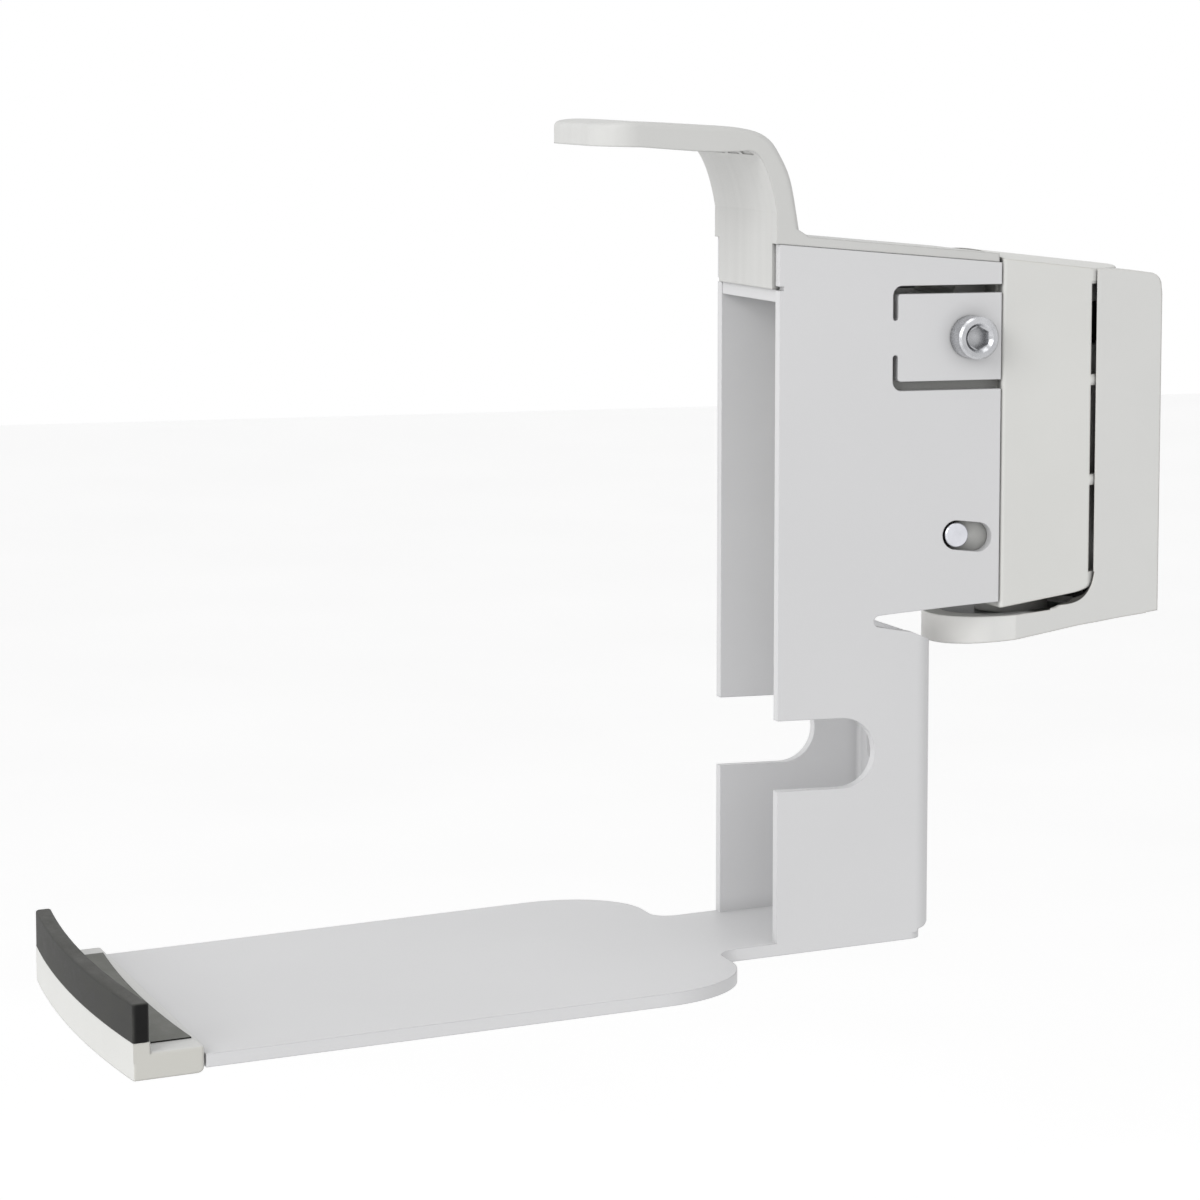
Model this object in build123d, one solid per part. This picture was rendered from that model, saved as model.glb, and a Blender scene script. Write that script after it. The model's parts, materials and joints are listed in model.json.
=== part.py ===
import os
from math import atan2, cos, degrees, radians, sin, sqrt

from build123d import *

os.makedirs("parts", exist_ok=True)

# Overall widths and clearances
HALF = 22.0
SHEET = 3.0
INNER = HALF - SHEET
SLIDE = 0.3
RUN = 0.06

# Channel of the cradle
FRONT_Y = -99.4
FLANGE_REAR = -42.9
WEB_REAR = -59.45
BEND_OUT = 4.2
TOP_FRONT_Z = 49.3
TOP_FALL = 0.0892
LOWER_EDGE = ((-42.9, -37.4), (-52.9, -38.0), (-69.7, -39.3))
RELIEF = (-73.6, -41.05)
RELIEF_R = 1.4
WEB_TOP = ((-69.6, -43.2), (-65.1, -43.9), (WEB_REAR, -46.3))
NOTCH_TOP = -64.0
NOTCH_BOTTOM = -81.0
NOTCH_END = -74.6
NOTCH_R = 8.4
CROSS_TOP = 38.6

# Shelf plate
SHELF_AT_FRONT = -117.87
SHELF_SLOPE = 0.06
SHELF_HALF = 57.2
SHELF_REAR = -115.0
SHELF_CORNER = 23.5
NECK_FILLET = 5.5
NECK_REAR = WEB_REAR - 2.5
SHELF_TIP = -262.0

# Adjusters
PIVOT = (-45.4, 41.6)
STUD_R = 2.2
STUD_LONG = 3.6
BOLT = (-51.15, 26.7)
BOLT_R = 3.0
HEAD_R = 5.12
HEAD_LONG = 6.1
PIN = (-53.85, -20.9)
PIN_R = 3.0
SLOT_FRONT = (-54.05, -20.9)
SLOT_BACK = (-48.4, -21.55)
SLOT_R = 3.55

# Swivel block and wall plate
AXIS_Y = -30.3
AXLE_R = 4.0
BLOCK_R = 24.5
RECESS_R = 24.98
BAND_UP = 0.18
BANDS = (15.6, -8.6)
RELIEVED_R = 21.6
WALL_END = -19.4
BLOCK_FRONT = -42.45
PLATE_BACK = -0.9
TONGUE_R = 24.4
TONGUE_Y = -27.7

# Lip and rubber
LIP_R = 600.0
LIP_APEX = SHELF_TIP - 4.4
LIP_THICK = 3.8
LIP_LOW = -4.1
LIP_UP = 4.45
RIM_UP = 13.3
LIP_SEAM = LIP_APEX + 18.9
PAD_HALF = 48.9
PAD_UP = 2.4
LIP_FLOOR = 2.1
TONGUE_HALF = 54.0
TIP_Y = FRONT_Y - 44.5


def yz(points, x0, x1):
    face = make_face(Polyline(*[(0, y, z) for y, z in points], close=True))
    solid = extrude(face, amount=abs(x1 - x0), dir=(1, 0, 0))
    return Pos(min(x0, x1), 0, 0) * solid


def xy(points, z0, z1):
    face = make_face(Polyline(*[(x, y, 0) for x, y in points], close=True))
    return Pos(0, 0, z0) * extrude(face, amount=z1 - z0, dir=(0, 0, 1))


def box(x0, x1, y0, y1, z0, z1):
    return Pos((x0 + x1) / 2, (y0 + y1) / 2, (z0 + z1) / 2) * Box(x1 - x0, y1 - y0, z1 - z0)


def rod_x(y, z, r, x0, x1):
    return Pos((x0 + x1) / 2, y, z) * Rot(0, 90, 0) * Cylinder(r, x1 - x0)


def rod_z(x, y, r, z0, z1):
    return Pos(x, y, (z0 + z1) / 2) * Cylinder(r, z1 - z0)


def slot_x(a, b, r, x0, x1):
    dy = b[0] - a[0]
    dz = b[1] - a[1]
    n = sqrt(dy * dy + dz * dz)
    oy = -dz / n * r
    oz = dy / n * r
    mid = yz([(a[0] + oy, a[1] + oz), (b[0] + oy, b[1] + oz),
              (b[0] - oy, b[1] - oz), (a[0] - oy, a[1] - oz)], x0, x1)
    return mid + rod_x(a[0], a[1], r, x0, x1) + rod_x(b[0], b[1], r, x0, x1)


def shelf_z(y):
    return SHELF_AT_FRONT + SHELF_SLOPE * (y - FRONT_Y)


def flange_top(y):
    return TOP_FRONT_Z - TOP_FALL * (y - FRONT_Y)


def lip_y(x, inset=0.0):
    r = LIP_R - inset
    return LIP_APEX + LIP_R - sqrt(r * r - x * x)


def front_arc(half, inset):
    side = lip_y(half, inset)
    return ThreePointArc((-half, side), (0, lip_y(0, inset)), (half, side))


def band(half, outer, inner):
    a = front_arc(half, outer)
    b = front_arc(half, inner)
    ends = [Line((s * half, lip_y(half, outer)), (s * half, lip_y(half, inner))) for s in (-1, 1)]
    return make_face([a, b] + ends)


def tray(half, inset, back):
    a = front_arc(half, inset)
    side = lip_y(half, inset)
    rest = Polyline((half, side), (half, back), (-half, back), (-half, side))
    return make_face([a, rest])


def above_shelf(face, low, high):
    body = Pos(0, 0, -150) * extrude(face, amount=70, dir=(0, 0, 1))
    a = LIP_APEX - 25
    b = LIP_APEX + 65
    slab = yz([(a, shelf_z(a) + low), (b, shelf_z(b) + low),
               (b, shelf_z(b) + high), (a, shelf_z(a) + high)], -70, 70)
    return body & slab


def only(shape):
    solids = sorted(shape.solids(), key=lambda s: -s.volume)
    return solids[0]


def soften(shape, choose, radius):
    for r in (radius, radius * 0.6, radius * 0.35):
        try:
            result = fillet(choose(shape), r)
        except Exception:
            continue
        grown = result.bounding_box().size - shape.bounding_box().size
        good = max(grown.X, grown.Y, grown.Z) < 0.001
        if good and 0.9 * shape.volume < result.volume < 1.01 * shape.volume:
            return result
    print("left sharp", radius, len(choose(shape)))
    return shape


def save(shape, name):
    shape = Pos(0, -PLATE_BACK, 0) * shape
    export_step(shape, "parts/" + name + ".step")
    box_ = shape.bounding_box()
    print(name, len(shape.solids()), round(shape.volume), box_.min, box_.max)


# Shelf plate with its neck
half_neck = HALF
outline = [(-SHELF_HALF, SHELF_TIP), (SHELF_HALF, SHELF_TIP), (SHELF_HALF, SHELF_REAR),
           (half_neck, SHELF_REAR), (half_neck, NECK_REAR), (-half_neck, NECK_REAR),
           (-half_neck, SHELF_REAR), (-SHELF_HALF, SHELF_REAR)]
plan = xy(outline, -170, -60)
corners = plan.edges().filter_by(Axis.Z)
wide = [e for e in corners if abs(abs(e.center().X) - SHELF_HALF) < 0.1 and e.center().Y > SHELF_REAR - 1]
plan = fillet(wide, SHELF_CORNER)
inside = [e for e in plan.edges().filter_by(Axis.Z)
          if abs(abs(e.center().X) - half_neck) < 0.1 and e.center().Y < SHELF_REAR + 1]
plan = fillet(inside, NECK_FILLET)
back = [e for e in plan.edges().filter_by(Axis.Z) if e.center().Y > NECK_REAR - 1]
plan = fillet(back, 3.0)
cut_back = LIP_APEX + 60
front_cut = box(-80, 80, LIP_APEX - 40, cut_back, -200, -50) - Pos(0, 0, -200) * extrude(
    tray(79.0, LIP_THICK + SLIDE, cut_back + 10), amount=150, dir=(0, 0, 1))
far_y = LIP_APEX - 25
slab = yz([(far_y, shelf_z(far_y) - SHEET), (-50, shelf_z(-50) - SHEET),
           (-50, shelf_z(-50)), (far_y, shelf_z(far_y))], -80, 80)
shelf = (plan & slab) - front_cut
for s in (-1, 1):
    x0, x1 = sorted((s * TONGUE_HALF, s * 70.0))
    shelf = shelf - box(x0, x1, far_y, LIP_SEAM + SLIDE, -200, -50)
shelf = only(shelf)

# Folded channel
chan = box(-HALF, HALF, FRONT_Y, WEB_REAR, -140, 60)
chan = fillet([e for e in chan.edges().filter_by(Axis.Z) if e.center().Y > -70], BEND_OUT)
core = box(-INNER, INNER, FRONT_Y - 10, WEB_REAR - SHEET, -150, 70)
core = fillet([e for e in core.edges().filter_by(Axis.Z) if e.center().Y > -70], BEND_OUT - SHEET)
chan = chan - core
low_side = yz([(FRONT_Y - 5, shelf_z(FRONT_Y - 5) - 1.5), (WEB_REAR - 3.7, shelf_z(WEB_REAR - 3.7) - 1.5),
               (WEB_REAR - 3.7, -116.5), (WEB_REAR - 1.7, -115.9), (WEB_REAR - 0.4, -114.9),
               (WEB_REAR + 0.01, -113.6),
               (WEB_REAR + 5, -113.6), (WEB_REAR + 5, WEB_TOP[2][1]), WEB_TOP[2], WEB_TOP[1], WEB_TOP[0],
               (RELIEF[0], RELIEF[1] - RELIEF_R), (FRONT_Y - 5, RELIEF[1] - RELIEF_R)], -30, 30)
lower = chan & low_side
upper_side = [(FRONT_Y, RELIEF[1] - RELIEF_R - 1), (FRONT_Y, flange_top(FRONT_Y)),
              (FLANGE_REAR, flange_top(FLANGE_REAR)), LOWER_EDGE[0], LOWER_EDGE[1], LOWER_EDGE[2],
              (RELIEF[0], RELIEF[1] + RELIEF_R), (RELIEF[0], RELIEF[1] - RELIEF_R - 1)]
cradle = lower
for s in (-1, 1):
    cradle = cradle + yz(upper_side, s * INNER, s * HALF)
cradle = cradle - rod_x(RELIEF[0], RELIEF[1], RELIEF_R, -40, 40)
cradle = cradle + box(-INNER - 0.5, INNER + 0.5, FRONT_Y + 0.2, -80.0, CROSS_TOP - SHEET, CROSS_TOP)
for s in (-1, 1):
    x0, x1 = sorted((s * (INNER - 0.4), s * (HALF + 1)))
    cradle = cradle - box(x0, x1, FRONT_Y - 1, FRONT_Y + 1.0, CROSS_TOP - 0.2, CROSS_TOP + 0.8)

# Cable notch through the flanges and the web
notch = box(-30, 30, FRONT_Y - 5, NOTCH_END, NOTCH_BOTTOM, NOTCH_TOP)
notch = fillet([e for e in notch.edges().filter_by(Axis.X) if e.center().Y > -80], NOTCH_R)
cradle = cradle - notch
port = box(-14.5, 14.5, WEB_REAR - 8, WEB_REAR + 5, NOTCH_BOTTOM, NOTCH_TOP)
port = fillet(port.edges().filter_by(Axis.Y), 5.0)
cradle = cradle - port

# Clamp tab slots


def turn_points(cy, cz, r, start, end, sign, count=7):
    angles = [radians(start + (end - start) * i / (count - 1)) for i in range(count)]
    return [(cy + r * cos(a), cz + sign * r * sin(a)) for a in angles]


def c_slot(outer, inner, leg_end, sign):
    line = [(-40, outer)]
    line += turn_points(-68.45, outer - sign * 2.3, 2.3, 90, 180, sign)
    line += turn_points(-70.075, leg_end + sign * 0.675, 0.675, 180, 360, sign)
    line += turn_points(-68.7, inner - sign * 0.7, 0.7, 180, 90, sign)
    line += [(-40, inner)]
    return yz(line, -30, 30)


cradle = cradle - c_slot(39.1, 37.1, 30.8, 1) - c_slot(14.05, 16.3, 22.65, -1)

# Travel openings and pivot studs
cradle = cradle - slot_x(SLOT_FRONT, SLOT_BACK, SLOT_R, -30, 30)
cradle = cradle - slot_x(BOLT, (BOLT[0] + 1.4, BOLT[1] - 0.45), BOLT_R + 0.3, -30, 30)
for s in (-1, 1):
    a = s * (INNER + 0.4)
    b = s * (INNER - STUD_LONG)
    cradle = cradle + rod_x(PIVOT[0], PIVOT[1], STUD_R, min(a, b), max(a, b))
cradle = only(cradle + shelf)

# Top hook
hook_out = [(-141.0, 78.35), (-133.8, 78.2), (-126.4, 77.8), (-119.0, 77.4), (-112.1, 77.0), (-108.1, 76.45),
            (-104.1, 75.3), (-101.3, 73.3), (-99.2, 70.2), (-97.2, 66.2), (-95.8, 61.0), (-94.9, 55.9),
            (-94.3, 52.4)]
hook_in = [(-100.2, 49.6), (-100.2, 56.8), (-100.7, 59.5), (-101.8, 63.8), (-103.5, 68.1), (-105.2, 70.5),
           (-108.1, 71.2), (-114.0, 71.05), (-120.8, 71.3), (-133.8, 72.3), (-141.0, 72.9)]


HOOK_FACE = -100.2


def hook_side(x0, x1):
    top = Spline(*[(0, y, z) for y, z in [(TIP_Y, 77.55), (TIP_Y + 3.6, 78.05)] + hook_out[1:]])
    down = Line((0, -94.3, 52.4), (0, -92.0, flange_top(-92.0) + 2.3))
    strip = Line((0, -92.0, flange_top(-92.0) + 2.3), (0, -43.6, flange_top(-43.6) + 2.1))
    end = Line((0, -43.6, flange_top(-43.6) + 2.1), (0, -43.6, flange_top(-43.6) + 0.1))
    seat = Line((0, -43.6, flange_top(-43.6) + 0.1), (0, FRONT_Y, flange_top(FRONT_Y) + 0.1))
    step = Line((0, FRONT_Y, flange_top(FRONT_Y) + 0.1), (0, HOOK_FACE, flange_top(FRONT_Y) + 0.1))
    rise = Polyline((0, HOOK_FACE, flange_top(FRONT_Y) + 0.1), (0, HOOK_FACE, 56.8))
    inner = Spline(*[(0, y, z) for y, z in hook_in[1:7]])
    under = Polyline(*[(0, y, z) for y, z in hook_in[6:-1]], (0, TIP_Y, 72.5))
    tip = Line((0, TIP_Y, 72.5), (0, TIP_Y, 77.55))
    face = make_face([top, down, strip, end, seat, step, rise, inner, under, tip])
    return Pos(x0, 0, 0) * extrude(face, amount=x1 - x0, dir=(1, 0, 0))


hook = hook_side(-HALF, HALF)
tips = [e for e in hook.edges().filter_by(Axis.Z) if e.center().Y < TIP_Y + 0.5]
hook = fillet(tips, 9.8)
hook = soften(hook, lambda h: [e for e in h.edges()
                               if (e.center().Z > 76.0 and e.center().Y < -112)
                               or (abs(abs(e.center().X) - HALF) < 0.1 and e.center().Z > 53
                                   and e.center().Y > -101.0 and e.length > 8.0)], 1.3)
nest_half = INNER - 0.2
nest = yz([(HOOK_FACE, CROSS_TOP + 0.02), (-82.0, CROSS_TOP + 0.02), (-79.0, flange_top(-79.0) - 3.0),
           (-52.0, flange_top(-52.0) - 3.0), (-52.0, flange_top(-52.0) + 0.8), (HOOK_FACE, 50.2)],
          -nest_half, nest_half)
hook = hook + nest
HOOK_SCREW_Y = -89.0
ribs = []
for i in range(4):
    x = -15.0 + 10.0 * i
    pocket = yz([(-137.0, 70.0), (-137.0, 76.0), (-111.0, 74.9), (-107.4, 74.0), (-105.4, 72.6),
                 (-104.8, 70.4), (-106.0, 69.0)], x - 3.9, x + 3.9)
    ribs.append(pocket)
for pocket in ribs:
    hook = hook - pocket
for x in (-9.0, 9.0):
    hook = hook - rod_z(x, HOOK_SCREW_Y, 1.35, CROSS_TOP - 1, CROSS_TOP + 7.0)
hook = only(hook)
save(hook, "top_hook")

# Screws that hold the hook down through the cross plate


def countersunk(x, y, low, length):
    cone = Pos(x, y, low + 0.85) * Cone(2.9, 1.35, 1.7)
    shank = rod_z(x, y, 1.35, low + 1.6, low + length)
    socket = Pos(x, y, low) * extrude(RegularPolygon(1.0, 6), amount=1.1)
    return cone + shank - socket


screws = None
for x in (-9.0, 9.0):
    one = countersunk(x, HOOK_SCREW_Y, CROSS_TOP - SHEET, 9.0)
    screws = one if screws is None else screws + one
    cradle = cradle - rod_z(x, HOOK_SCREW_Y, 1.35, CROSS_TOP - 5, CROSS_TOP + 1)
    cradle = cradle - Pos(x, HOOK_SCREW_Y, CROSS_TOP - SHEET + 0.85) * Cone(2.9, 1.35, 1.7)
cradle = only(cradle)
save(screws, "hook_screws")

# Front lip
lip = Pos(0, 0, -150) * extrude(tray(SHELF_HALF, 0.0, LIP_SEAM), amount=70, dir=(0, 0, 1))
lip = soften(lip, lambda q: [e for e in q.edges().filter_by(Axis.Z)
                             if e.center().Y > LIP_SEAM - 1], 0.8)
lip = soften(lip, lambda q: [e for e in q.edges().filter_by(Axis.Z)
                             if e.center().Y < LIP_SEAM - 5], 0.5)
corner = 1.9
heel = [(LIP_SEAM - corner + corner * sin(radians(a)),
         shelf_z(LIP_SEAM) + LIP_LOW + corner - corner * cos(radians(a))) for a in (0, 15, 30, 45, 60, 75, 90)]
lip = lip & yz([(far_y, shelf_z(far_y) + LIP_LOW)] + heel + [(LIP_SEAM, shelf_z(LIP_SEAM) + LIP_FLOOR),
                                                         (far_y, shelf_z(far_y) + LIP_FLOOR)], -70, 70)
lip = lip + above_shelf(band(SHELF_HALF, 0.0, LIP_THICK), 0.0, LIP_UP)
plate_room = above_shelf(tray(TONGUE_HALF + SLIDE, LIP_THICK, LIP_SEAM + 5), -SHEET - 0.02, 0.02)
lip = soften(lip, lambda q: [e for e in q.edges() if abs(abs(e.center().X) - SHELF_HALF) < 0.1
                             and e.center().Y > LIP_APEX + 8 and e.length > 5
                             and e.center().Z > shelf_z(LIP_APEX) + 0.9], 0.8)
lip = lip - plate_room
pad_side = lip_y(PAD_HALF, LIP_THICK)
pad_rear = LIP_SEAM - 1.2
pad_plan = make_face([front_arc(PAD_HALF, LIP_THICK),
                      Line((PAD_HALF, pad_side), (PAD_HALF, pad_rear)),
                      ThreePointArc((PAD_HALF, pad_rear), (0, pad_rear - 1.8), (-PAD_HALF, pad_rear)),
                      Line((-PAD_HALF, pad_rear), (-PAD_HALF, pad_side))])
room = above_shelf(pad_plan, 0.6, 6.0)
lip = lip - room
LIP_SCREWS = (-36.0, 0.0, 36.0)


def lip_axis(x, low, high, r):
    y = LIP_SEAM - 8.5
    tilt = degrees(atan2(SHELF_SLOPE, 1.0))
    rod = Pos(0, 0, (low + high) / 2) * Cylinder(r, high - low)
    return Pos(x, y, shelf_z(y)) * Rot(tilt, 0, 0) * rod


for x in LIP_SCREWS:
    lip = lip - lip_axis(x, -6.0, -2.0, 2.9)
    cradle = cradle - lip_axis(x, -4.0, 1.0, 1.2)
cradle = only(cradle)
lip = only(lip)
save(cradle, "cradle")
save(lip, "front_lip")

# Rubber rim with its pad
rim = above_shelf(band(SHELF_HALF, 0.0, LIP_THICK), LIP_UP, RIM_UP)
rim = soften(rim, lambda q: [e for e in q.edges() if abs(e.center().X) > SHELF_HALF - 0.1
                             and e.length > 8], 1.0)
rim = soften(rim, lambda q: q.faces().sort_by(Axis.Z)[-1].edges(), 0.6)
base = above_shelf(pad_plan, 0.6, PAD_UP)
skin = above_shelf(band(PAD_HALF, LIP_THICK, LIP_THICK + 0.8), 0.6, LIP_UP + 2.0)
bridge = above_shelf(band(PAD_HALF, LIP_THICK - 0.6, LIP_THICK + 0.8), LIP_UP, LIP_UP + 2.0)
rubber = only(rim + skin + base + bridge)
save(rubber, "lip_pad")

# Lip screws from below
lip_screws = None
for x in LIP_SCREWS:
    head = lip_axis(x, LIP_LOW + 0.1, -SHEET + 0.0, 2.6)
    one = head + lip_axis(x, -SHEET - 0.2, -0.2, 1.2)
    lip_screws = one if lip_screws is None else lip_screws + one
save(lip_screws, "lip_screws")

# Swivel block


def crowned(plan_shape, z_low, front, back, rise, fall):
    faces = []
    for i in range(5):
        y = front + (back - front) * i / 4
        crown = rise - fall * (y - front)
        low = z_low(y)
        line = [(-26.0, y, crown - 0.0030 * 26 ** 2), (-13.0, y, crown - 0.0030 * 13 ** 2), (0, y, crown),
                (13.0, y, crown - 0.0030 * 13 ** 2), (26.0, y, crown - 0.0030 * 26 ** 2)]
        top = Spline(*line)
        rest = Polyline((26.0, y, crown - 0.0030 * 26 ** 2), (26.0, y, low), (-26.0, y, low),
                        (-26.0, y, crown - 0.0030 * 26 ** 2))
        faces.append(make_face([top, rest]))
    envelope = loft(faces)
    return plan_shape & envelope


round_back = rod_z(0, AXIS_Y, BLOCK_R, -60, 60) + rod_z(0, AXIS_Y, BLOCK_R + BAND_UP, 39.4, 60)
body = box(-HALF, HALF, BLOCK_FRONT, 0, -60, 60)
body = (body & round_back) + (box(-HALF, HALF, BLOCK_FRONT, AXIS_Y + 5, -60, 60))
front_edges = [e for e in body.edges().filter_by(Axis.Z)
               if abs(e.center().Y - BLOCK_FRONT) < 0.1 and abs(abs(e.center().X) - HALF) < 0.1]
body = fillet(front_edges, 0.8)
body = crowned(body, lambda y: -38.9 + 0.155 * (y + 42.2), BLOCK_FRONT - 1, -4.0, 46.75, 0.115)
body = soften(body, lambda q: [e for e in q.edges() if e.center().Z < -30 and e.center().Y > -16
                               and e.length > 20], 1.7)
body = soften(body, lambda q: [e for e in q.edges() if e.center().Z > 40 and e.center().Y > -16
                               and e.length > 20], 0.8)
tongue_side = [(-72.0, -35.6), (-72.0, 36.2), (-52.2, 36.2), (-51.0, 37.4), (-51.0, 42.4),
               (BLOCK_FRONT + 2, 42.4), (BLOCK_FRONT + 2, -35.6)]
inner_tongue = yz(tongue_side, -INNER + SLIDE, INNER - SLIDE)
block = body + inner_tongue
for s in (-1, 1):
    a = s * (INNER + 1)
    b = s * (INNER - STUD_LONG - 0.3)
    x0, x1 = min(a, b), max(a, b)
    r = STUD_R + RUN
    block = block - rod_x(PIVOT[0], PIVOT[1], r, x0, x1)
    block = block - box(x0, x1, PIVOT[0] - r, PIVOT[0] + r, PIVOT[1], PIVOT[1] + 4)
    g0, g1 = sorted((s * (INNER - 7.0), s * INNER))
    block = block - box(g0, g1, -60.0, BLOCK_FRONT - 0.6, 36.2, 39.3)
block = block - rod_x(BOLT[0], BOLT[1], BOLT_R + 0.1, -30, 30)
block = block - rod_x(PIN[0], PIN[1], PIN_R, -30, 30)

# Raised bands on the round back
for middle in BANDS:
    low_cone = Pos(0, AXIS_Y, middle - 0.95) * Cone(BLOCK_R - 0.2, BLOCK_R + BAND_UP, 1.1)
    flat = rod_z(0, AXIS_Y, BLOCK_R + BAND_UP, middle - 0.4, middle + 0.4)
    high_cone = Pos(0, AXIS_Y, middle + 0.95) * Cone(BLOCK_R + BAND_UP, BLOCK_R - 0.2, 1.1)
    ring = low_cone + flat + high_cone
    keep = box(-HALF, HALF, -25, 0, -60, 60)
    block = block + (ring & keep)

# Relieved round back between the bands
half_band = 1.3
for low, high in ((-31.0, BANDS[1] - half_band), (BANDS[1] + half_band, BANDS[0] - half_band),
                  (BANDS[0] + half_band, 38.8)):
    hollow = rod_z(0, AXIS_Y, BLOCK_R + 2, low, high) - rod_z(0, AXIS_Y, RELIEVED_R, low - 1, high + 1)
    hollow = hollow & box(-HALF - 1, HALF + 1, WALL_END, 10, -60, 60)
    block = block - hollow

# Sector pocket for the upper lug of the wall plate
LUG_LOW = 24.0
LUG_HIGH = 34.0
LUG_R = 8.0
swing = 36.0


def sector(r, angle, z0, z1):
    n = 24
    pts = [(0, AXIS_Y)]
    for i in range(n + 1):
        a = radians(90 - angle + 2 * angle * i / n)
        pts.append((r * cos(a), AXIS_Y + r * sin(a)))
    return xy(pts, z0, z1)


pocket = sector(40.0, swing, LUG_LOW - SLIDE, LUG_HIGH + SLIDE)
pocket = pocket + rod_z(0, AXIS_Y, LUG_R + SLIDE, LUG_LOW - SLIDE, LUG_HIGH + SLIDE)
way = box(-LUG_R - SLIDE, LUG_R + SLIDE, 0, 40, LUG_LOW - SLIDE, LUG_HIGH + SLIDE)
for turn in (-swing, 0, swing):
    pocket = pocket + Pos(0, AXIS_Y, 0) * Rot(0, 0, turn) * way
block = block - pocket
AXLE_HIGH = 38.0
DISC_R = 17.7
DISC_LOW = -43.2
DISC_HIGH = -42.2
block = block + rod_z(0, AXIS_Y, 9.0, DISC_HIGH + 0.1, -34.0)
block = block - rod_z(0, AXIS_Y, AXLE_R + RUN, -60, AXLE_HIGH + 0.5)
block = only(block)
save(block, "swivel_block")

# Wall plate
plate = box(-HALF, HALF, -20.5, PLATE_BACK, -60, 60)
side = [(-20.5, 42.7), (-18.0, 42.5), (-9.3, 42.0), (-4.3, 41.3)]
side += [(-4.3 + 3.2 * sin(radians(a)), 38.1 + 3.2 * cos(radians(a))) for a in (15, 35, 55, 75)]
side += [(PLATE_BACK, 36.0), (PLATE_BACK, -41.15), (-10.8, -42.5), (-20.5, -43.9)]
plate = yz(side, -HALF, HALF)
seat = rod_z(0, AXIS_Y, RECESS_R, -70, 70)
ring_side = [(RECESS_R, -32.8), (RECESS_R - 0.12, -33.9), (RECESS_R - 0.35, -34.9), (RECESS_R - 0.9, -36.3),
             (RECESS_R - 2.0, -37.3), (RECESS_R - 3.2, -37.9), (RECESS_R - 4.6, -38.3), (RECESS_R - 4.6, -39.6),
             (RECESS_R + 1, -39.6), (RECESS_R + 1, -32.8)]
low_side = [(24.2, -36.3), (23.5, -36.9), (22.9, -37.4), (22.72, -38.0), (22.5, -38.25), (22.25, -38.6),
            (22.1, -39.2), (22.0, -39.6), (20.4, -40.2), (20.4, -42.0), (27.0, -42.0), (27.0, -36.3)]


def collar(side):
    face = make_face(Polyline(*[(0, AXIS_Y + r, z) for r, z in side], close=True))
    return revolve(face, Axis((0, AXIS_Y, 0), (0, 0, 1)), 360)


seat = seat - collar(ring_side)
plate = plate - seat
plate = soften(plate, lambda q: [e for e in q.edges().filter_by(Axis.Z)
                                 if abs(abs(e.center().X) - HALF) < 0.1 and -19.5 < e.center().Y < -16.5
                                 and e.length > 20], 0.15)
plate = soften(plate, lambda q: [e for e in q.edges() if abs(abs(e.center().X) - HALF) < 0.1
                                 and e.center().Z > 40.9], 0.8)
tongue = rod_z(0, TONGUE_Y, TONGUE_R, -70, 70) & box(-HALF, HALF, -60, TONGUE_Y + 2, -70, 70)
tongue = tongue + box(-HALF, HALF, -38.3, -4.0, -70, 70)
shelf_low = [(-60.0, -50.4), (-47.0, -48.4), (-30.8, -45.6), (-22.3, -44.1), (-10.8, -42.5), (-3.0, -41.6),
             (-3.0, -36.6), (-17.0, -38.3), (-22.4, -39.2), (-33.7, -40.4), (-48.0, -41.9), (-60.0, -43.2)]
tongue = tongue & yz(shelf_low, -30, 30)
plate = plate + tongue
plate = plate + (collar(low_side) & box(-HALF, HALF, AXIS_Y + 1.0, -20.4, -60, -30))
lug = box(-LUG_R, LUG_R, AXIS_Y, -3.0, LUG_LOW, LUG_HIGH) + rod_z(0, AXIS_Y, LUG_R, LUG_LOW, LUG_HIGH)
plate = plate + lug
plate = plate - rod_z(0, AXIS_Y, AXLE_R + RUN, LUG_LOW - 1, LUG_HIGH + 1)
plate = plate - rod_z(0, AXIS_Y, AXLE_R, -60, -30)
plate = plate - rod_z(0, AXIS_Y, 7.2, -60, -45.0)
plate = plate - rod_z(0, AXIS_Y, DISC_R + SLIDE, DISC_LOW, -30.0)
SCREW_X = 11.0
SCREW_Z = (-27.0, 15.0)
for x in (-SCREW_X, SCREW_X):
    for z in SCREW_Z:
        hole = Pos(x, -5, z) * Rot(90, 0, 0) * Cylinder(2.75, 30)
        sink = Pos(x, -22.4, z) * Rot(90, 0, 0) * Cylinder(5.2, 38)
        plate = plate - hole - sink
plate = only(plate)
save(plate, "wall_plate")

# Swivel axle and its screw
axle = rod_z(0, AXIS_Y, AXLE_R, -45.0, AXLE_HIGH) + rod_z(0, AXIS_Y, 7.0, -47.6, -45.0)
axle = axle - rod_z(0, AXIS_Y, 2.4, -48, -46.4)
save(axle, "swivel_axle")

washer = rod_z(0, AXIS_Y, DISC_R, DISC_LOW, DISC_HIGH) - rod_z(0, AXIS_Y, AXLE_R + RUN, -60, 0)
save(washer, "swivel_washer")

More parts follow.
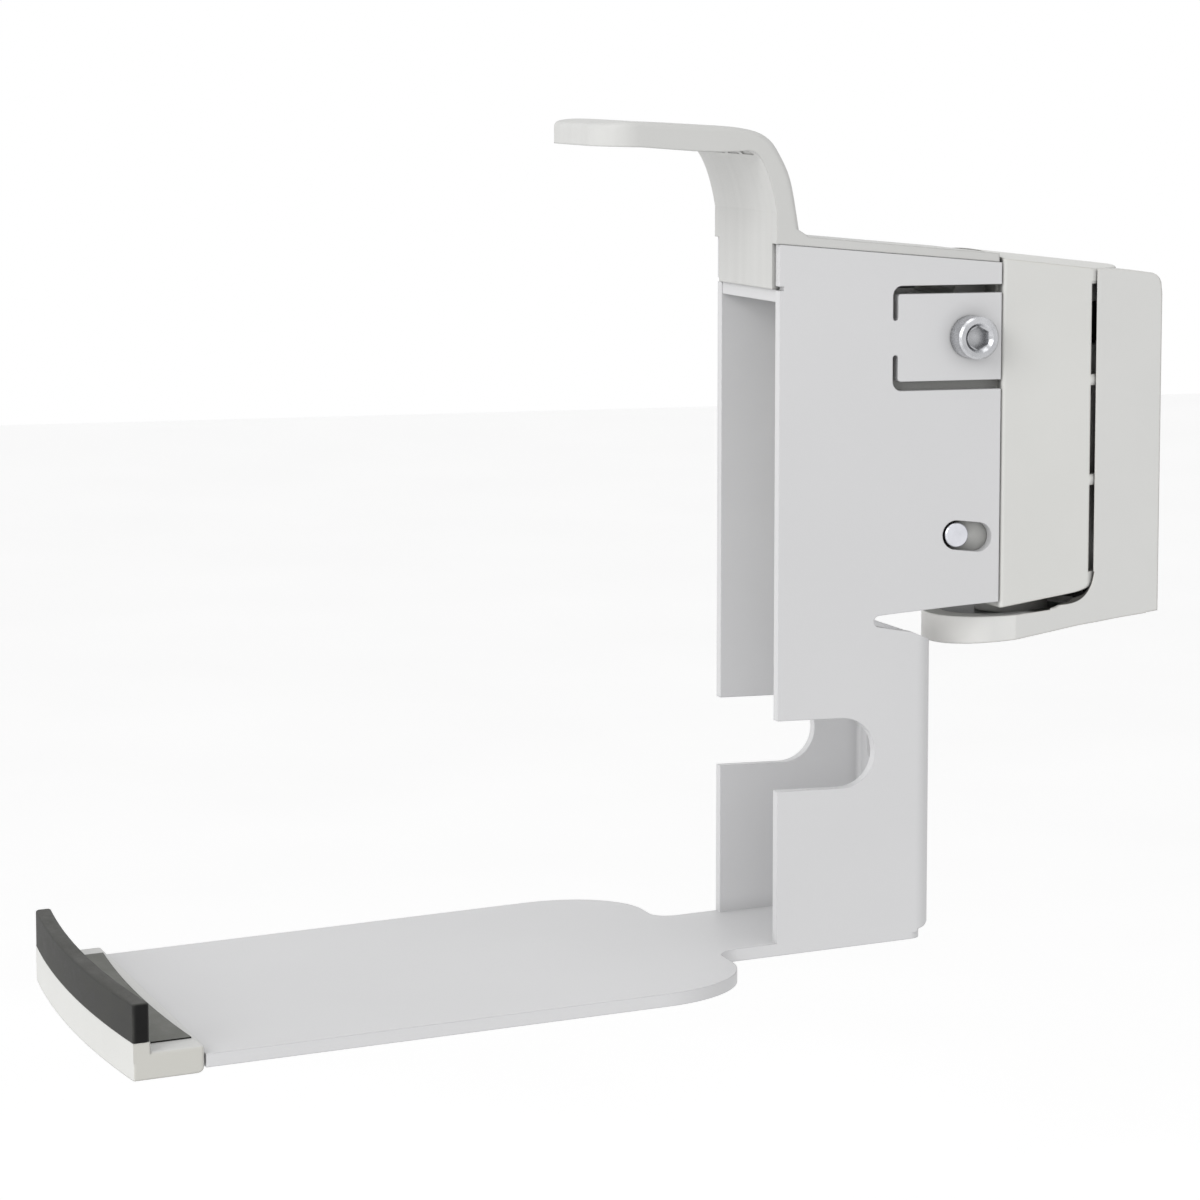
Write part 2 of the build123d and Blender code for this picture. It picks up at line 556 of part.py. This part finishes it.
# Clamp bolt and nut
bolt = rod_x(BOLT[0], BOLT[1], BOLT_R, -HALF - 8.0, HALF + 1)
head = rod_x(BOLT[0], BOLT[1], HEAD_R, HALF + SLIDE, HALF + SLIDE + HEAD_LONG)
rim_edge = head.edges().filter_by(GeomType.CIRCLE).sort_by(Axis.X)[-1]
head = chamfer(rim_edge, 0.5)
hexagon = Pos(HALF + SLIDE + HEAD_LONG - 3.2, BOLT[0], BOLT[1]) * Rot(0, 90, 0) * extrude(
    RegularPolygon(2.5 / cos(radians(30)), 6), amount=6)
mouth = Pos(HALF + SLIDE + HEAD_LONG - 0.35, BOLT[0], BOLT[1]) * Rot(0, 90, 0) * Cone(2.8, 3.6, 0.8)
hexagon = hexagon + mouth
bolt = bolt + head - hexagon
save(bolt, "clamp_bolt")
nut = Pos(-HALF - SLIDE - 6.0, BOLT[0], BOLT[1]) * Rot(0, 90, 0) * extrude(
    RegularPolygon(5.0 / cos(radians(30)), 6), amount=6)
nut = nut - rod_x(BOLT[0], BOLT[1], BOLT_R, -40, 0)
save(nut, "clamp_nut")

# Stop pin
pin = rod_x(PIN[0], PIN[1], PIN_R, -HALF, HALF)
pin = chamfer(pin.edges().filter_by(GeomType.CIRCLE), 0.3)
save(pin, "stop_pin")
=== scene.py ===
import json
from math import radians

import bpy
from mathutils import Euler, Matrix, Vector

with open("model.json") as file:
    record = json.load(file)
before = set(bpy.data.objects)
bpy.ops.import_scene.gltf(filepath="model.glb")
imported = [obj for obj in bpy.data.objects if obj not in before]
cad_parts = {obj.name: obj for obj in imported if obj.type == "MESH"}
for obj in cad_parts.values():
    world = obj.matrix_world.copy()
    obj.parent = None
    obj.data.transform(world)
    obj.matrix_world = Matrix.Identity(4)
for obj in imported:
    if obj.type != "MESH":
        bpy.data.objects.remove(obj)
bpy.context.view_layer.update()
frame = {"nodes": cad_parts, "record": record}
nodes = frame["nodes"]
scene = bpy.context.scene

# Sizes that the painted shade, painted light and weld trace follow, in metres
SWIVEL_AXIS_Y = -0.0294
SEAT_R = 0.0251
SEAT_LOW = -0.04045
PLATE_SIDE = 0.0218
RELIEF_END = -0.031
CORNER_HALF = 0.0129
CORNER_DROP = 0.0194
CORNER_MIDDLE_Z = -0.0195
FLANGE_START = 0.0205
FLANGE_END = 0.0214
FLANGE_FACE = 0.0215
FLANGE_FRONT = -0.100
FADE = 0.0001
SHARP = 0.00015


def height_of(name, end):
    obj = nodes[name]
    return end((obj.matrix_world @ Vector(corner)).z for corner in obj.bound_box)


PAD_TOP = height_of("lip_pad", max) - 0.0135
FOOT = height_of("cradle", min) + 0.004


# Shader helpers
def linear(value):
    c = value / 255.0
    return c / 12.92 if c <= 0.04045 else ((c + 0.055) / 1.055) ** 2.4


def tone(r, g, b):
    return (linear(r), linear(g), linear(b), 1.0)


def new_material(name):
    mat = bpy.data.materials.new(name)
    mat.use_nodes = True
    tree = mat.node_tree
    tree.nodes.clear()
    out = tree.nodes.new("ShaderNodeOutputMaterial")
    shader = tree.nodes.new("ShaderNodeBsdfPrincipled")
    tree.links.new(shader.outputs["BSDF"], out.inputs["Surface"])
    return mat, tree, shader


def place(tree):
    return tree.nodes.new("ShaderNodeTexCoord").outputs["Object"]


def parts_of(tree, vector):
    split = tree.nodes.new("ShaderNodeSeparateXYZ")
    tree.links.new(vector, split.inputs["Vector"])
    return split.outputs


def noise(tree, scale, detail=4.0, rough=0.55, stretch=None):
    tex = tree.nodes.new("ShaderNodeTexNoise")
    tex.inputs["Scale"].default_value = scale
    tex.inputs["Detail"].default_value = detail
    tex.inputs["Roughness"].default_value = rough
    source = place(tree)
    if stretch:
        mapping = tree.nodes.new("ShaderNodeMapping")
        mapping.inputs["Scale"].default_value = stretch
        tree.links.new(source, mapping.inputs["Vector"])
        source = mapping.outputs["Vector"]
    tree.links.new(source, tex.inputs["Vector"])
    return tex.outputs["Fac"]


def ramp(tree, source, low, high, start=0.3, end=0.7):
    node = tree.nodes.new("ShaderNodeMapRange")
    node.inputs["From Min"].default_value = start
    node.inputs["From Max"].default_value = end
    node.inputs["To Min"].default_value = low
    node.inputs["To Max"].default_value = high
    tree.links.new(source, node.inputs["Value"])
    return node.outputs["Result"]


def combine(tree, operation, *sources):
    node = tree.nodes.new("ShaderNodeMath")
    node.operation = operation
    for index, source in enumerate(sources):
        tree.links.new(source, node.inputs[index])
    return node.outputs[0]


def product(tree, *factors):
    total = factors[0]
    for factor in factors[1:]:
        total = combine(tree, "MULTIPLY", total, factor)
    return total


def scaled_place(tree, scale, shift):
    node = tree.nodes.new("ShaderNodeVectorMath")
    node.operation = "MULTIPLY_ADD"
    node.inputs[1].default_value = scale
    node.inputs[2].default_value = shift
    tree.links.new(place(tree), node.inputs[0])
    return node.outputs["Vector"]


def length(tree, vector):
    node = tree.nodes.new("ShaderNodeVectorMath")
    node.operation = "LENGTH"
    tree.links.new(vector, node.inputs[0])
    return node.outputs["Value"]


def mix_colour(tree, factor, a, b):
    node = tree.nodes.new("ShaderNodeMix")
    node.data_type = "RGBA"
    tree.links.new(factor, node.inputs["Factor"])
    for value, socket in ((a, node.inputs["A"]), (b, node.inputs["B"])):
        if hasattr(value, "is_linked"):
            tree.links.new(value, socket)
        else:
            socket.default_value = value
    return node.outputs["Result"]


def mottled(tree, source, low, high):
    return mix_colour(tree, ramp(tree, source, 0.0, 1.0), tone(*low), tone(*high))


def rounded_normal(tree, radius):
    bevel = tree.nodes.new("ShaderNodeBevel")
    bevel.samples = 4
    bevel.inputs["Radius"].default_value = radius
    return bevel.outputs["Normal"]


def bump(tree, shader, height, strength, distance, round_edge):
    node = tree.nodes.new("ShaderNodeBump")
    node.inputs["Strength"].default_value = strength
    node.inputs["Distance"].default_value = distance
    tree.links.new(height, node.inputs["Height"])
    tree.links.new(rounded_normal(tree, round_edge), node.inputs["Normal"])
    tree.links.new(node.outputs["Normal"], shader.inputs["Normal"])


# Masks
# Painted highlight: rounded edges get a lighter colour where light would catch them.
def painted_edge_highlight(tree, radius, strength):
    geometry = tree.nodes.new("ShaderNodeNewGeometry")
    dot = tree.nodes.new("ShaderNodeVectorMath")
    dot.operation = "DOT_PRODUCT"
    tree.links.new(rounded_normal(tree, radius), dot.inputs[0])
    tree.links.new(geometry.outputs["Normal"], dot.inputs[1])
    edge = ramp(tree, dot.outputs["Value"], 1.0, 0.0, 0.75, 0.998)
    return ramp(tree, edge, 0.0, strength, 0.0, 1.0)


def facing(tree, axis, start, end):
    geometry = tree.nodes.new("ShaderNodeNewGeometry")
    return ramp(tree, parts_of(tree, geometry.outputs["Normal"])[axis], 0.0, 1.0, start, end)


def above(tree, axis, start, end):
    return ramp(tree, parts_of(tree, place(tree))[axis], 0.0, 1.0, start, end)


def below(tree, axis, start, end):
    return ramp(tree, parts_of(tree, place(tree))[axis], 1.0, 0.0, start, end)


def within(tree, start, end):
    width = combine(tree, "ABSOLUTE", parts_of(tree, place(tree))["X"])
    return ramp(tree, width, 1.0, 0.0, start, end)


# Painted shade: the wall plate's swivel seat behind and below the block.
def seat_shade_mask(tree):
    radius = length(tree, scaled_place(tree, (1.0, 1.0, 0.0), (0.0, -SWIVEL_AXIS_Y, 0.0)))
    return product(tree, ramp(tree, radius, 1.0, 0.0, SEAT_R - FADE / 2, SEAT_R + FADE / 2),
                   above(tree, "Z", SEAT_LOW - SHARP, SEAT_LOW + SHARP),
                   within(tree, PLATE_SIDE - FADE, PLATE_SIDE + FADE))


# Painted shade: the slit between block and plate, round its lower corner.
def slit_corner_shade_mask(tree):
    scaled = scaled_place(tree, (0.0, 1.0 / CORNER_HALF, 1.0 / CORNER_DROP),
                          (0.0, -SWIVEL_AXIS_Y / CORNER_HALF, -CORNER_MIDDLE_Z / CORNER_DROP))
    squared = tree.nodes.new("ShaderNodeVectorMath")
    squared.operation = "MULTIPLY"
    tree.links.new(scaled, squared.inputs[0])
    tree.links.new(scaled, squared.inputs[1])
    inside = ramp(tree, length(tree, squared.outputs["Vector"]), 1.0, 0.0, 0.99, 1.01)
    return product(tree, inside, below(tree, "Z", RELIEF_END - FADE, RELIEF_END + FADE))


# Painted light: front-facing faces of the tongue below the seat, near white.
def tongue_front_light_mask(tree):
    return product(tree, facing(tree, "Y", -0.62, -1.0),
                   below(tree, "Z", SEAT_LOW - SHARP, SEAT_LOW + SHARP))


# Mask that limits the block's painted crevice shade to the part between the flanges.
def under_flange(tree):
    return within(tree, FLANGE_START, FLANGE_END)


def weld_trace(tree):
    spots = noise(tree, 700.0, 3.0, 0.6, stretch=(1.0, 0.5, 1.0))
    return product(tree, ramp(tree, spots, 0.0, 0.8, 0.45, 0.62),
                   above(tree, "X", FLANGE_FACE, FLANGE_FACE + 0.0003),
                   above(tree, "Y", FLANGE_FRONT, FLANGE_FRONT + 0.003),
                   below(tree, "Y", FLANGE_FRONT + 0.006, FLANGE_FRONT + 0.016),
                   below(tree, "Z", FOOT + 0.004, FOOT + 0.006))


# Painted shade: colour darkens towards black where ambient occlusion finds nearby surfaces, in
# corners, gaps and recesses.
def painted_crevice_shade(tree, colour, depth, strength, where=None):
    shelter = tree.nodes.new("ShaderNodeAmbientOcclusion")
    shelter.samples = 8
    shelter.inputs["Distance"].default_value = depth
    amount = ramp(tree, shelter.outputs["AO"], strength, 0.0, 0.0, 1.0)
    if where:
        amount = product(tree, amount, where(tree))
    return mix_colour(tree, amount, colour, (0.02, 0.02, 0.018, 1.0))


# Materials
def powder_coat():
    mat, tree, shader = new_material("powder_coat")
    fine = noise(tree, 2600.0, 3.0)
    body = mottled(tree, noise(tree, 14.0, 2.0), (208, 208, 209), (211, 211, 212))
    # Painted highlight on the rounded edges of the steel.
    body = mix_colour(tree, painted_edge_highlight(tree, 0.0006, 0.3), body, tone(222, 223, 225))
    # Painted shade in the steel's corners and gaps.
    body = painted_crevice_shade(tree, body, 0.004, 0.3)
    body = mix_colour(tree, weld_trace(tree), body, tone(226, 226, 224))
    tree.links.new(body, shader.inputs["Base Color"])
    tree.links.new(ramp(tree, fine, 0.42, 0.52), shader.inputs["Roughness"])
    shader.inputs["Specular IOR Level"].default_value = 0.35
    bump(tree, shader, fine, 0.10, 0.0002, 0.0004)
    return mat


def plastic(name, low, high, edge_highlight_tone, rough=0.5, flow=None, shaded_side=None, top_face_shade=None,
            shade=0.85, where=None, painted_seat_shade=False):
    mat, tree, shader = new_material(name)
    fine = noise(tree, 1800.0, 2.0)
    body = mottled(tree, noise(tree, 22.0, 3.0, stretch=flow), low, high)
    # Painted highlight on rounded edges, in the edge highlight tone.
    body = mix_colour(tree, painted_edge_highlight(tree, 0.0010, 0.6), body, tone(*edge_highlight_tone))
    if shaded_side:
        # Painted shade on faces turned towards +X.
        body = mix_colour(tree, facing(tree, "X", 0.5, 0.95), body, tone(*shaded_side))
    if top_face_shade:
        # Painted shade on upward faces.
        body = mix_colour(tree, facing(tree, "Z", 0.7, 0.95), body, tone(*top_face_shade))
    # Painted shade in corners and gaps, limited by the optional mask.
    body = painted_crevice_shade(tree, body, 0.004, shade, where)
    if painted_seat_shade:
        # Painted shade in the swivel seat behind the block.
        body = mix_colour(tree, seat_shade_mask(tree), body, tone(48, 46, 42))
        # Painted shade in the slit's rounded lower corner.
        body = mix_colour(tree, slit_corner_shade_mask(tree), body, tone(52, 50, 46))
        # Painted light on the tongue's front faces, lifting them out of their shade.
        body = mix_colour(tree, tongue_front_light_mask(tree), body, tone(250, 249, 246))
    tree.links.new(body, shader.inputs["Base Color"])
    tree.links.new(ramp(tree, fine, rough - 0.05, rough + 0.05), shader.inputs["Roughness"])
    shader.inputs["Specular IOR Level"].default_value = 0.4
    bump(tree, shader, fine, 0.07, 0.0002, 0.0007)
    return mat


def rubber():
    mat, tree, shader = new_material("rubber")
    broad = noise(tree, 190.0, 6.0, 0.75, stretch=(0.5, 1.0, 1.0))
    rim = above(tree, "Z", PAD_TOP + 0.003, PAD_TOP + 0.005)
    # Painted sheen: upward faces lighter, the pad more than the rim top.
    top_sheen = mix_colour(tree, rim, tone(112, 113, 108), tone(66, 66, 63))
    body = mottled(tree, broad, (18, 18, 17), (62, 62, 59))
    body = mix_colour(tree, facing(tree, "Z", 0.3, 0.95), body, top_sheen)
    # Painted shade: faces turned towards +X nearly black.
    body = mix_colour(tree, facing(tree, "X", 0.6, 0.95), body, tone(9, 9, 9))
    tree.links.new(body, shader.inputs["Base Color"])
    tree.links.new(ramp(tree, broad, 0.5, 0.72), shader.inputs["Roughness"])
    shader.inputs["Specular IOR Level"].default_value = 0.2
    bump(tree, shader, noise(tree, 3200.0, 3.0), 0.16, 0.0002, 0.0006)
    return mat


def metal(name, low, high, rough, stretch):
    mat, tree, shader = new_material(name)
    fine = noise(tree, 900.0, 4.0, stretch=stretch)
    body = mottled(tree, noise(tree, 180.0, 4.0), low, high)
    # Painted shade in the metal's hollows and socket.
    body = painted_crevice_shade(tree, body, 0.003, 0.85)
    tree.links.new(body, shader.inputs["Base Color"])
    shader.inputs["Metallic"].default_value = 1.0
    tree.links.new(ramp(tree, fine, rough - 0.08, rough + 0.08), shader.inputs["Roughness"])
    bump(tree, shader, fine, 0.12, 0.0001, 0.0002)
    return mat


finishes = {
    "powder_coat": powder_coat(),
    "hook_plastic": plastic("hook_plastic", (197, 197, 195), (203, 203, 201), (208, 208, 205),
                            flow=(9.0, 0.4, 0.4)),
    "block_plastic": plastic("block_plastic", (211, 211, 208), (215, 215, 212), (221, 219, 210),
                             where=under_flange),
    "plate_plastic": plastic("plate_plastic", (208, 208, 206), (212, 212, 210), (218, 216, 209),
                             shade=0.3, painted_seat_shade=True),
    "lip_plastic": plastic("lip_plastic", (203, 203, 200), (208, 208, 205), (211, 211, 207),
                           rough=0.42, shaded_side=(197, 196, 190), top_face_shade=(203, 203, 201), shade=0.2),
    "rubber": rubber(),
    "zinc": metal("zinc", (176, 177, 180), (206, 207, 210), 0.26, (1.0, 6.0, 6.0)),
    "dark_steel": metal("dark_steel", (92, 92, 94), (112, 112, 114), 0.36, (6.0, 6.0, 1.0)),
}
bright_pin = metal("bright_pin", (212, 213, 219), (226, 227, 233), 0.3, (1.0, 6.0, 6.0))
slot_of = {part["node"]: part["material_slot"] for part in frame["record"]["subparts"]}
for name, obj in nodes.items():
    obj.data.materials.clear()
    obj.data.materials.append(bright_pin if name == "stop_pin" else finishes[slot_of[name]])


# Pale floor
FLOOR_SIZE = 14.0
FLOOR_Z = -0.6
FLOOR_LIFT = 0.28
PALE = (0.88, 0.88, 0.88, 1.0)
PALER = (0.9, 0.9, 0.9, 1.0)
WHITE = (1.0, 1.0, 1.0, 1.0)


def seen_directly(tree):
    path = tree.nodes.new("ShaderNodeLightPath")
    total = path.outputs["Is Camera Ray"]
    for kind in ("Is Glossy Ray", "Is Transmission Ray"):
        total = combine(tree, "MAXIMUM", total, path.outputs[kind])
    return total


bpy.ops.mesh.primitive_plane_add(size=FLOOR_SIZE, location=(0, 0, FLOOR_Z))
floor = bpy.context.object
floor.name = "floor"
mat, tree, shader = new_material("floor")
body = mix_colour(tree, ramp(tree, noise(tree, 3.0, 2.0), 0.0, 1.0), PALE, PALER)
tree.links.new(body, shader.inputs["Base Color"])
shader.inputs["Roughness"].default_value = 0.9
shader.inputs["Emission Color"].default_value = WHITE
lift = ramp(tree, seen_directly(tree), 0.0, FLOOR_LIFT, 0.0, 1.0)
tree.links.new(lift, shader.inputs["Emission Strength"])
floor.data.materials.append(mat)

# Lights
TARGET = Vector((0, -0.13, -0.02))


def area(name, location, size, power):
    light = bpy.data.lights.new(name, "AREA")
    light.shape = "RECTANGLE"
    light.size = size
    light.size_y = size
    light.energy = power
    obj = bpy.data.objects.new(name, light)
    obj.location = location
    obj.rotation_euler = (TARGET - Vector(location)).to_track_quat("-Z", "Y").to_euler()
    scene.collection.objects.link(obj)


area("key", (1.23, -1.95, 0.92), 1.2, 19.0)
area("front", (-0.1, -2.3, -0.1), 1.0, 6.0)
area("near", (2.0, -0.7, 0.3), 0.8, 2.5)
area("top", (0.3, -0.6, 2.0), 1.0, 4.5)


# World, white where it is seen
def background(tree, strength):
    node = tree.nodes.new("ShaderNodeBackground")
    node.inputs["Color"].default_value = WHITE
    node.inputs["Strength"].default_value = strength
    return node.outputs[0]


world = bpy.data.worlds.new("studio")
scene.world = world
world.use_nodes = True
tree = world.node_tree
tree.nodes.clear()
out = tree.nodes.new("ShaderNodeOutputWorld")
pick = tree.nodes.new("ShaderNodeMixShader")
tree.links.new(seen_directly(tree), pick.inputs[0])
tree.links.new(background(tree, 0.72), pick.inputs[1])
tree.links.new(background(tree, 1.0), pick.inputs[2])
tree.links.new(pick.outputs[0], out.inputs["Surface"])

# Camera at the photograph's viewing angle
cam_data = bpy.data.cameras.new("camera")
cam_data.sensor_width = 36.0
cam_data.lens = 134.4
cam = bpy.data.objects.new("camera", cam_data)
cam.location = (1.0127, -0.4625, 0.0979)
cam.rotation_euler = Euler((radians(82.826), 0.0, radians(72.124)), "XYZ")
scene.collection.objects.link(cam)
scene.camera = cam
scene.view_settings.view_transform = "Standard"
scene.view_settings.look = "None"

bpy.context.view_layer.update()
